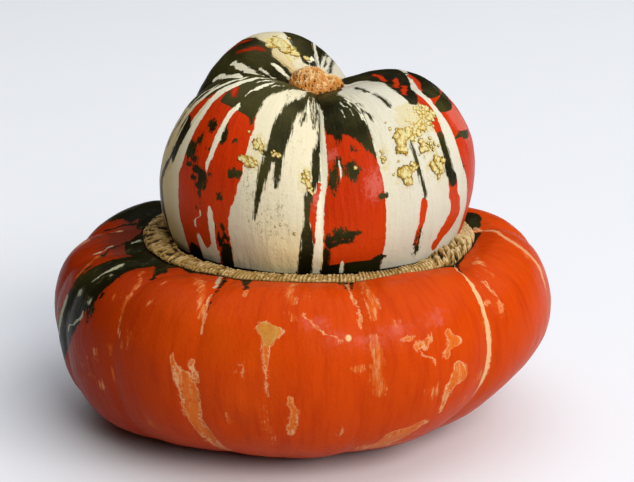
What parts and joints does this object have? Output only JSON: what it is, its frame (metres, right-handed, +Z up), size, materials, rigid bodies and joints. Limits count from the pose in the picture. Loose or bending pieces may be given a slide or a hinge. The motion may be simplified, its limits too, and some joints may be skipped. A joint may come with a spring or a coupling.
{
  "type": "turban squash",
  "caption": "Whole winter squash with a wide, low ribbed base fruit and a lobed turban-shaped crown rising inside a corky ring; rests stem end down.",
  "frame": {"origin": "middle of the bounding box's underside, on the surface that the fruit rests on", "axes": "+Z up out of the blossom end, the front with the groove between the crown's two near lobes faces -Y, +X to the right of it"},
  "size_m": [0.246, 0.2388, 0.1837],
  "materials": {
    "rind": "satin",
    "cork": "matte"
  },
  "bodies": {
    "root": {"turban_squash": "rind"}
  },
  "joints": []
}
